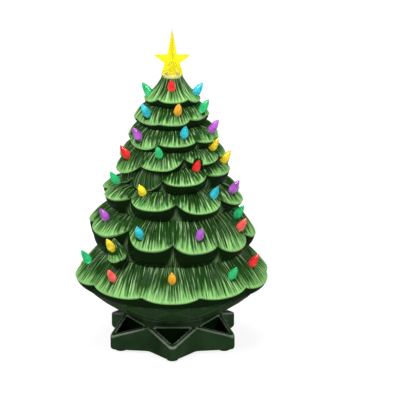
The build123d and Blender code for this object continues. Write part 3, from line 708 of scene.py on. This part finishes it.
# %% Soften the foot
FOOT_FACE = 0.5 * MM
SOFTENING = 0.5
SOFTENING_PASSES = 8
foot = bpy.data.objects.new("glazed_foot", nodes["star_foot"].data.copy())
bpy.context.scene.collection.objects.link(foot)
select_only(foot)
remesh = foot.modifiers.new("even_faces", "REMESH")
remesh.mode = "VOXEL"
remesh.voxel_size = FOOT_FACE
soften = foot.modifiers.new("glaze_rounding", "SMOOTH")
soften.factor = SOFTENING
soften.iterations = SOFTENING_PASSES
for step in (remesh, soften):
    bpy.ops.object.modifier_apply(modifier=step.name)
bpy.ops.object.shade_smooth()
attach(foot, "foot")
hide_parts("star_foot")
print("foot faces", len(foot.data.polygons))

# %% [markdown]
# Melted glaze runs thin over edges and gathers in the recesses. The edges are painted paler, partly for
# the thinner glaze and partly as painted highlight, and the recesses nearly black, partly for the pooled
# glaze and partly as painted shade. Both are read off the mesh. A point that stands out from its neighbours
# lies on an edge; edges below the recess floors stay dark. A point is inside a recess if it lies on a recess
# floor, if its normal looks at another part of the foot, or if it lies on a side of the hub behind a recess.
# Along the top of the hub behind each recess a painted highlight line is added, though the solid has no
# edge there.

# %% Places on the foot
RECESS_FLOOR = 5.0 * MM
RECESS_LOOK = 30 * MM
RECESS_HALF = 11.6 * MM
HUB_EDGE = 15.8 * MM
HUB_SIDE = 24.7 * MM
FLOOR_SLACK = 1.2 * MM
SIDE_SLACK = 0.8 * MM
LIFT_OFF = 0.3 * MM
FACES_UP = 0.6
POINT_TURN = math.pi / 3


def behind_recess(place):
    """Whether a place lies on a side of the hub, next to one of the recesses."""
    turn = math.atan2(place.x, -place.y)
    off_point = (turn + POINT_TURN / 2) % POINT_TURN - POINT_TURN / 2
    reach = math.hypot(place.x, place.y)
    on_hub_side = abs(reach * math.cos(off_point) - HUB_SIDE) < SIDE_SLACK
    return on_hub_side and reach * abs(math.sin(off_point)) < RECESS_HALF


def in_recess(vertex):
    """Whether a point of the foot lies in one of the recesses."""
    looks_up = vertex.normal.z > FACES_UP
    if looks_up and abs(vertex.co.z - RECESS_FLOOR) < FLOOR_SLACK:
        return True
    if not RECESS_FLOOR < vertex.co.z < HUB_EDGE:
        return False
    start = vertex.co + vertex.normal * LIFT_OFF
    faces_wall = not looks_up and foot.ray_cast(start, vertex.normal, distance=RECESS_LOOK)[0]
    return faces_wall or behind_recess(vertex.co)


# %% Mark edges and recesses
HUB_HIGHLIGHT_MARK = 0.12
BLUR_PASSES = 2


def store(mesh, name, values):
    """Keep one number per point, for the finish to read."""
    layer = mesh.attributes.new(name, "FLOAT", "POINT")
    layer.data.foreach_set("value", np.asarray(values, dtype=np.float32))


def mean_of_neighbours(values, pairs, count):
    total = np.zeros_like(values)
    np.add.at(total, pairs[:, 0], values[pairs[:, 1]])
    np.add.at(total, pairs[:, 1], values[pairs[:, 0]])
    return total / count.reshape((-1,) + (1,) * (values.ndim - 1))


points = np.array([v.co for v in foot.data.vertices])
normals = np.array([v.normal for v in foot.data.vertices])
pairs = np.array([e.vertices for e in foot.data.edges])
count = np.bincount(pairs.ravel(), minlength=len(points)).astype(float)
stand_out = ((points - mean_of_neighbours(points, pairs, count)) * normals).sum(axis=1) / FOOT_FACE
inside = np.zeros(len(points))
for i, vertex in enumerate(foot.data.vertices):
    inside[i] = in_recess(vertex)
    # A painted highlight along the top of the hub behind each recess.
    if abs(vertex.co.z - HUB_EDGE) < FOOT_FACE and behind_recess(vertex.co):
        stand_out[i] = HUB_HIGHLIGHT_MARK
for _ in range(BLUR_PASSES):
    stand_out = mean_of_neighbours(stand_out, pairs, count)
    inside = mean_of_neighbours(inside, pairs, count)
stand_out[points[:, 2] < RECESS_FLOOR] = 0
store(foot.data, "edge", stand_out)
store(foot.data, "recess", inside)
print("edge", np.percentile(stand_out, (5, 50, 95, 99)).round(4), "recess share", round(inside.mean(), 3))

# %% [markdown]
# ## Finishes
# A finish is a Principled shader whose colour, roughness and relief vary over the surface. The helpers
# below add one node each and hand on what it puts out.

# %% Node helpers
def new_finish(name):
    material = bpy.data.materials.new(name)
    material.use_nodes = True
    return material, material.node_tree, material.node_tree.nodes["Principled BSDF"]


def dress(piece, material):
    piece.data.materials.clear()
    piece.data.materials.append(material)


def add(t, kind, **settings):
    """A new node in a node tree, with its settings."""
    node = t.nodes.new(kind)
    for key, value in settings.items():
        setattr(node, key, value)
    return node


def feed(t, socket, value):
    """Link an output to a socket, or set a number or a colour on it."""
    if isinstance(value, bpy.types.NodeSocket):
        t.links.new(value, socket)
    else:
        socket.default_value = (*value, 1) if isinstance(value, tuple) else value


def calc(t, operation, first, second):
    node = add(t, "ShaderNodeMath", operation=operation)
    feed(t, node.inputs[0], first)
    feed(t, node.inputs[1], second)
    return node.outputs["Value"]


def map_range(t, value, start, end, low=0.0, high=1.0):
    """A value carried over from one range to another, and held at the ends."""
    node = add(t, "ShaderNodeMapRange")
    feed(t, node.inputs["Value"], value)
    for label, entry in (("From Min", start), ("From Max", end), ("To Min", low), ("To Max", high)):
        feed(t, node.inputs[label], entry)
    return node.outputs["Result"]


def mix_colour(t, share, first, second):
    node = add(t, "ShaderNodeMix", data_type="RGBA")
    for label, entry in (("Factor", share), ("A", first), ("B", second)):
        feed(t, node.inputs[label], entry)
    return node.outputs["Result"]


def ramp(t, value, stops):
    """A colour that changes with a value, from (position, colour) stops."""
    node = add(t, "ShaderNodeValToRGB")
    steps = node.color_ramp.elements
    while len(steps) < len(stops):
        steps.new(0.5)
    for step, (position, colour) in zip(steps, stops):
        step.position = position
        step.color = (*colour, 1)
    feed(t, node.inputs["Fac"], value)
    return node.outputs["Color"]


def noise(t, where, scale, detail=2.0, roughness=0.5):
    node = add(t, "ShaderNodeTexNoise")
    for label, entry in (("Vector", where), ("Scale", scale), ("Detail", detail), ("Roughness", roughness)):
        feed(t, node.inputs[label], entry)
    return node.outputs["Fac"]


def emboss(t, shader, height, amount, distance):
    """Relief that is too fine to model."""
    bump = add(t, "ShaderNodeBump")
    for label, entry in (("Height", height), ("Strength", amount), ("Distance", distance)):
        feed(t, bump.inputs[label], entry)
    feed(t, shader.inputs["Normal"], bump.outputs["Normal"])


# %% [markdown]
# Effects that several finishes share are node groups with named inputs. Pooled glaze gives soft clouds and
# a fine ripple. Moulded grain gives a fine grain and a broad haze.

# %% Shared effects
CLOUD_DETAIL = 3.0
GRAIN_DETAIL = 4.0
RIPPLE_SCALE = 160.0
HAZE_SCALE = 120.0
HAZE_LOW, HAZE_HIGH = 0.18, 0.34


def group_shell(name, inputs, outputs):
    """An empty shader group with its number sockets, its two end nodes and its place on the object."""
    group = bpy.data.node_groups.new(name, "ShaderNodeTree")
    for label, value in inputs.items():
        socket = group.interface.new_socket(label, in_out="INPUT", socket_type="NodeSocketFloat")
        socket.default_value = value
    for label in outputs:
        group.interface.new_socket(label, in_out="OUTPUT", socket_type="NodeSocketFloat")
    where = add(group, "ShaderNodeTexCoord").outputs["Object"]
    return group, group.nodes.new("NodeGroupInput").outputs, group.nodes.new("NodeGroupOutput").inputs, where


def use_group(t, group, **values):
    node = add(t, "ShaderNodeGroup", node_tree=group)
    for label, value in values.items():
        node.inputs[label].default_value = value
    return node.outputs


pooled, ins, outs, where = group_shell("pooled_glaze", {"Scale": 60.0, "Amount": 0.5}, ("Pool", "Ripple"))
clouds = noise(pooled, where, ins["Scale"], CLOUD_DETAIL)
feed(pooled, outs["Pool"], calc(pooled, "MULTIPLY", clouds, ins["Amount"]))
feed(pooled, outs["Ripple"], noise(pooled, where, RIPPLE_SCALE))

grain, ins, outs, where = group_shell("moulded_grain", {"Scale": 900.0}, ("Grain", "Haze"))
feed(grain, outs["Grain"], noise(grain, where, ins["Scale"], GRAIN_DETAIL))
feed(grain, outs["Haze"], map_range(grain, noise(grain, where, HAZE_SCALE), 0.0, 1.0, HAZE_LOW, HAZE_HIGH))
print("groups", pooled.name, grain.name)

# %% [markdown]
# ### Brushed green glaze
# The casting is dark green all over. A paler green is brushed over the relief, so it stays on the
# rims and on the ridges between the needles and thins out towards the top of each bough. Some of the pale
# strokes on the ridges are painted highlight, and undersides, notches and sockets carry painted shade.
# The fan map carries the way round a bough and the height up its slope, so streaks run down the bough by
# themselves.

# %% Streaks down the boughs
glaze, g, shader = new_finish("brushed_green_glaze")


def map_values(name):
    """The two values that a map of the casting carries."""
    source = add(g, "ShaderNodeUVMap", uv_map=name)
    values = add(g, "ShaderNodeSeparateXYZ")
    feed(g, values.inputs["Vector"], source.outputs["UV"])
    return values.outputs["X"], values.outputs["Y"]


def streaks(across, along, roughness):
    """Noise drawn out along the bough: many strokes round it, few changes down it."""
    stretch = add(g, "ShaderNodeCombineXYZ")
    feed(g, stretch.inputs["X"], calc(g, "MULTIPLY", way_round, across))
    feed(g, stretch.inputs["Y"], calc(g, "MULTIPLY", way_up, along))
    return noise(g, stretch.outputs["Vector"], scale=1.0, roughness=roughness)


way_round, way_up = map_values("fan")
groove_mark, wedge_mark = map_values("needle")
broad_strokes = streaks(across=60.0, along=2.6, roughness=0.5)
fine_strokes = streaks(across=140.0, along=1.8, roughness=0.6)
print("finish", glaze.name, "streaks:", len(g.nodes), "nodes")

# %% [markdown]
# The tone of the slope sinks from pale at the rim to dark higher up. Broad strokes let that border wander,
# grooves are darker, notches darker still with painted shade, and fine strokes leave thin lines. Pale
# strokes lie over it on the ridges, more of them higher up: partly brushed green, partly painted highlight.

# %% Tone of the slopes
LIGHT_GREEN = (0.20, 0.43, 0.13)
MID_GREEN = (0.085, 0.22, 0.055)
DARK_GREEN = (0.008, 0.042, 0.004)
PALE_STROKE_AND_HIGHLIGHT = (0.42, 0.64, 0.31)
TONE_STOPS = [(0.03, LIGHT_GREEN), (0.24, MID_GREEN), (0.52, DARK_GREEN)]
NOISE_MIDDLE = 0.5
GROOVE_DARK, GROOVE_DARKER_UP = 0.28, 0.5
LINE_PALE = -0.8
NOTCH_SHADE_DARK = 0.4
STROKE_OFF_GROOVES, STROKE_MORE_UP = 0.3, 0.06
STROKE_FROM, STROKE_TO, STROKE_MOST = 0.53, 0.70, 0.75

wander = calc(g, "SUBTRACT", broad_strokes, NOISE_MIDDLE)
deeper_up = calc(g, "ADD", calc(g, "MULTIPLY", way_up, GROOVE_DARKER_UP), GROOVE_DARK)
depth_of_tone = calc(g, "ADD", calc(g, "ADD", way_up, wander), calc(g, "MULTIPLY", groove_mark, deeper_up))
# Painted shade beside the notches.
depth_of_tone = calc(g, "ADD", depth_of_tone, calc(g, "MULTIPLY", wedge_mark, NOTCH_SHADE_DARK))
thin_lines = calc(g, "MULTIPLY", calc(g, "SUBTRACT", fine_strokes, NOISE_MIDDLE), LINE_PALE)
tone = ramp(g, calc(g, "ADD", depth_of_tone, thin_lines), TONE_STOPS)
# Pale strokes on the ridges, more of them higher up: partly brushed green, partly painted highlight.
on_ridges = calc(g, "SUBTRACT", fine_strokes, calc(g, "MULTIPLY", groove_mark, STROKE_OFF_GROOVES))
on_ridges = calc(g, "ADD", on_ridges, calc(g, "MULTIPLY", way_up, STROKE_MORE_UP))
stroke_and_highlight_mask = map_range(g, on_ridges, STROKE_FROM, STROKE_TO, 0.0, STROKE_MOST)
stroked_and_highlighted = mix_colour(g, stroke_and_highlight_mask, tone, PALE_STROKE_AND_HIGHLIGHT)
print("slopes:", len(g.nodes), "nodes")

# %% [markdown]
# Undersides and bowl keep the dark glaze, and the undersides are painted darker than the bowl as painted
# shade under the boughs. Only in the gaps between two boughs does that painted shade give way to strokes.

# %% Dark undersides
# Painted shade under the boughs, darker than the bowl's glaze.
UNDER_SHADE_GREEN = (0.0028, 0.0105, 0.002)
BOWL_GREEN = (0.015, 0.036, 0.012)
BETWEEN_DARK = (0.010, 0.040, 0.007)
BETWEEN_STROKE = (0.16, 0.24, 0.12)
UNDER_FROM, UNDER_TO = -0.03, -0.10

under_mask = map_range(g, way_up, UNDER_FROM, UNDER_TO)
below = ramp(g, calc(g, "DIVIDE", way_up, BOWL_MARK), [(0.35, UNDER_SHADE_GREEN), (0.65, BOWL_GREEN)])
between = ramp(g, fine_strokes, [(0.42, BETWEEN_DARK), (0.70, BETWEEN_STROKE)])
hidden = mix_colour(g, groove_mark, below, between)
feed(g, shader.inputs["Base Color"], mix_colour(g, under_mask, stroked_and_highlighted, hidden))
print("undersides:", len(g.nodes), "nodes")

# %% Gloss and relief of the glaze
SLOPE_MATT = 0.24
GLAZE_SHINE = 0.1
STROKE_RELIEF, RIPPLE_RELIEF = 0.8, 0.15

pool = use_group(g, pooled, Scale=70.0, Amount=0.22)
matt = calc(g, "MULTIPLY", calc(g, "SUBTRACT", 1.0, under_mask), SLOPE_MATT)
feed(g, shader.inputs["Roughness"], calc(g, "ADD", pool["Pool"], matt))
stroke_height = calc(g, "MULTIPLY", fine_strokes, STROKE_RELIEF)
ripple_height = calc(g, "MULTIPLY", pool["Ripple"], RIPPLE_RELIEF)
relief = calc(g, "ADD", stroke_height, ripple_height)
emboss(g, shader, relief, amount=0.5, distance=0.5 * MM)
shader.inputs["Specular IOR Level"].default_value = GLAZE_SHINE
dress(tree, glaze)
print("finish", glaze.name, len(g.nodes), "nodes")

# %% [markdown]
# ### Dark glaze of the foot
# The same dark green, pooled in clouds. The marks on the mesh darken the recesses with painted shade and
# lighten the edges with painted highlight, over the pooled and thinned glaze.

# %% Dark glaze for the foot
FOOT_STOPS = [(0.3, (0.006, 0.016, 0.005)), (0.7, (0.016, 0.041, 0.014))]
RECESS_SHADE_GREEN = (0.002, 0.010, 0.0013)
EDGE_HIGHLIGHT_GREEN = (0.17, 0.21, 0.16)
EDGE_FROM, EDGE_TO, EDGE_MOST = 0.025, 0.075, 0.8
LEAST_ROUGH_FOOT, MOST_ROUGH_FOOT = 0.10, 0.20
FOOT_SHINE = 0.2

foot_glaze, f, shader = new_finish("dark_foot_glaze")
pool = use_group(f, pooled, Scale=55.0, Amount=1.0)
recess_shade_mark = add(f, "ShaderNodeAttribute", attribute_name="recess").outputs["Fac"]
edge_mark = add(f, "ShaderNodeAttribute", attribute_name="edge").outputs["Fac"]
# Nearly black recesses: partly pooled glaze, partly painted shade.
colour = mix_colour(f, recess_shade_mark, ramp(f, pool["Pool"], FOOT_STOPS), RECESS_SHADE_GREEN)
# Paler edges: partly thin glaze, partly painted highlight.
edge_highlight_share = map_range(f, edge_mark, EDGE_FROM, EDGE_TO, 0.0, EDGE_MOST)
feed(f, shader.inputs["Base Color"], mix_colour(f, edge_highlight_share, colour, EDGE_HIGHLIGHT_GREEN))
rough = map_range(f, pool["Pool"], 0.0, 1.0, LEAST_ROUGH_FOOT, MOST_ROUGH_FOOT)
feed(f, shader.inputs["Roughness"], rough)
emboss(f, shader, pool["Ripple"], amount=0.15, distance=0.3 * MM)
shader.inputs["Specular IOR Level"].default_value = FOOT_SHINE
dress(foot, foot_glaze)
print("finish", foot_glaze.name)

# %% [markdown]
# ### Clear coloured plastic
# Lamps and star are moulded in tinted clear plastic. Light passes through them, and a painted glow of
# their own tint stands in for light scattered inside, so they look bright against the dark glaze. Each
# tint varies a little, as moulded batches do.

# %% Tinted plastic for the lamps and the star
TINTS = {
    "red_lamps": (0.74, 0.014, 0.012),
    "coral_lamps": (0.80, 0.16, 0.13),
    "amber_lamps": (0.82, 0.47, 0.02),
    "yellow_lamps": (0.85, 0.70, 0.02),
    "green_lamps": (0.015, 0.56, 0.23),
    "blue_lamps": (0.03, 0.56, 0.64),
    "purple_lamps": (0.50, 0.14, 0.59),
    "star_topper": (0.96, 0.87, 0.02),
}
LAMP_BODY = dict(pale_share=0.12, clear=0.9, sheen=0.5, painted_glow=0.30, dark_share=0.35, coat=0.8)
STAR_BODY = dict(pale_share=0.0, clear=0.58, sheen=0.0, painted_glow=0.10, dark_share=0.7, coat=0.1)
MOST_ROUGH = 0.06


def shaded(colour, share):
    return tuple(share * c for c in colour)


def tinted_plastic(name, tint, pale_share, clear, sheen, painted_glow, dark_share, coat):
    material, t, shader = new_finish(name)
    speck = use_group(t, grain, Scale=500.0)
    cloud = use_group(t, pooled, Scale=230.0, Amount=1.0)
    pale = tuple(c + (1 - c) * pale_share for c in tint)
    bright = tuple(min(1.0, 1.2 * c + 0.05) for c in tint)
    body = ramp(t, speck["Grain"], [(0.35, shaded(pale, 0.95)), (0.65, pale)])
    feed(t, shader.inputs["Base Color"], body)
    feed(t, shader.inputs["Roughness"], map_range(t, speck["Haze"], 0.0, 1.0, 0.0, MOST_ROUGH))
    inner = ramp(t, cloud["Pool"], [(0.40, shaded(tint, dark_share)), (0.60, bright)])
    feed(t, shader.inputs["Emission Color"], inner)
    # Emission Strength is a painted glow, standing in for light scattered in the plastic.
    for label, value in {
            "Emission Strength": painted_glow, "IOR": 1.46, "Transmission Weight": clear,
            "Coat Weight": coat, "Coat Roughness": 0.04,
            "Sheen Weight": sheen, "Sheen Roughness": 0.25, "Sheen Tint": pale}.items():
        feed(t, shader.inputs[label], value)
    return material


for name, tint in TINTS.items():
    body = STAR_BODY if name == "star_topper" else LAMP_BODY
    dress(nodes[name], tinted_plastic(f"tinted_{name}", tint, **body))
print("tints:", len(TINTS))

# %% Paler flange for the star
FLANGE_TOP = 161.8 * MM
FLANGE_BLEND = 0.6 * MM
# Painted light: the flange is paler where more light passes through it.
FLANGE_LIGHT_YELLOW = (1.0, 0.94, 0.34)


def pale_below(material, top, colour):
    """The thin flange lets more light through than the star above it, so it is painted paler in colour and
    glow: painted light.
    """
    t = material.node_tree
    shader = t.nodes["Principled BSDF"]
    place = add(t, "ShaderNodeSeparateXYZ")
    feed(t, place.inputs["Vector"], add(t, "ShaderNodeTexCoord").outputs["Object"])
    share = map_range(t, place.outputs["Z"], top, top - FLANGE_BLEND)
    for label in ("Base Color", "Emission Color"):
        socket = shader.inputs[label]
        feed(t, socket, mix_colour(t, share, socket.links[0].from_socket, colour))


pale_below(nodes["star_topper"].data.materials[0], FLANGE_TOP, FLANGE_LIGHT_YELLOW)
print("flange blends up to", round(FLANGE_TOP / MM, 1), "mm")

# %% Deeper colour for the cores
# The cores glow too: painted glow.
CORE_PAINTED_GLOW = 0.45
CORE_ROUGH = 0.4


def core_plastic(name, tint):
    material, t, shader = new_finish(name)
    cloud = use_group(t, pooled, Scale=300.0, Amount=1.0)
    colour = ramp(t, cloud["Pool"], [(0.35, shaded(tint, 0.6)), (0.65, tint)])
    feed(t, shader.inputs["Base Color"], colour)
    feed(t, shader.inputs["Emission Color"], colour)
    shader.inputs["Emission Strength"].default_value = CORE_PAINTED_GLOW
    shader.inputs["Roughness"].default_value = CORE_ROUGH
    return material


for name, core in cores.items():
    dress(core, core_plastic(f"core_of_{name}", TINTS[name]))
print("core finishes:", len(cores))

# %% [markdown]
# ### Plain finishes of the light unit
# The light unit is hardly seen, but a lifted tree or a look from below shows it. Its plastics share the
# moulded grain, and its metals are brushed or plated. The table gives colour, metal, roughness and relief.

# %% Finishes of the light unit
METAL_GRAIN, PLASTIC_GRAIN = 1400.0, 900.0
ROUGH_SPREAD = 0.06
PLAIN = {
    # The pads are painted near-black so that they read as contact shadow under the foot: painted shadow.
    "foot_pads": ((0.006, 0.008, 0.006), 0.0, 0.75, 0.6),
    "bottom_plate": ((0.78, 0.78, 0.75), 0.0, 0.45, 0.4),
    "lamp_case": ((0.80, 0.80, 0.77), 0.0, 0.45, 0.4),
    "battery_door": ((0.72, 0.72, 0.70), 0.0, 0.48, 0.4),
    "coin_cell_lower": ((0.70, 0.70, 0.70), 1.0, 0.28, 0.1),
    "coin_cell_upper": ((0.70, 0.70, 0.70), 1.0, 0.28, 0.1),
    "negative_contact": ((0.80, 0.62, 0.28), 1.0, 0.30, 0.1),
    "positive_contact": ((0.80, 0.62, 0.28), 1.0, 0.30, 0.1),
    "circuit_board": ((0.02, 0.20, 0.06), 0.0, 0.35, 0.2),
    "leds": ((0.92, 0.90, 0.80), 0.0, 0.12, 0.0),
    "case_screws": ((0.62, 0.62, 0.65), 1.0, 0.32, 0.1),
    "switch_body": ((0.05, 0.05, 0.05), 0.0, 0.5, 0.3),
    "switch_slider": ((0.04, 0.04, 0.04), 0.0, 0.45, 0.3),
    "switch_wires": ((0.50, 0.02, 0.02), 0.0, 0.4, 0.2),
}


def plain_finish(name, colour, metal, rough, relief):
    material, t, shader = new_finish(name)
    speck = use_group(t, grain, Scale=METAL_GRAIN if metal else PLASTIC_GRAIN)["Grain"]
    feed(t, shader.inputs["Base Color"], ramp(t, speck, [(0.3, shaded(colour, 0.85)), (0.7, colour)]))
    feed(t, shader.inputs["Metallic"], metal)
    vary = map_range(t, speck, 0.0, 1.0, rough - ROUGH_SPREAD, rough + ROUGH_SPREAD)
    feed(t, shader.inputs["Roughness"], vary)
    emboss(t, shader, speck, amount=relief, distance=0.1 * MM)
    return material


for name, values in PLAIN.items():
    dress(nodes[name], plain_finish(f"plain_{name}", *values))
print("plain finishes:", len(PLAIN))

# %% [markdown]
# ### Floor
# The sheet is pale enough to melt into the backdrop and keeps only a trace of shadow. Glossy rays see it
# dimmed, like the white surroundings.

# %% Floor finish
PAPER_STOPS = [(0.3, (0.17, 0.17, 0.17)), (0.7, (0.18, 0.18, 0.18))]
PAPER_GLOW = 0.84
MIRRORED_PAPER = (0.06, 0.06, 0.06)
floor_finish, t, shader = new_finish("pale_paper")
speck = use_group(t, grain, Scale=300.0)
feed(t, shader.inputs["Base Color"], ramp(t, speck["Grain"], PAPER_STOPS))
shader.inputs["Roughness"].default_value = 0.9
shader.inputs["Emission Color"].default_value = (1, 1, 1, 1)
shader.inputs["Emission Strength"].default_value = PAPER_GLOW
unlit = add(t, "ShaderNodeBsdfDiffuse")
feed(t, unlit.inputs["Color"], MIRRORED_PAPER)
seen = add(t, "ShaderNodeMixShader")
feed(t, seen.inputs["Fac"], add(t, "ShaderNodeLightPath").outputs["Is Glossy Ray"])
feed(t, seen.inputs[1], shader.outputs["BSDF"])
feed(t, seen.inputs[2], unlit.outputs["BSDF"])
feed(t, t.nodes["Material Output"].inputs["Surface"], seen.outputs["Shader"])
dress(floor, floor_finish)
print("finish", floor_finish.name)
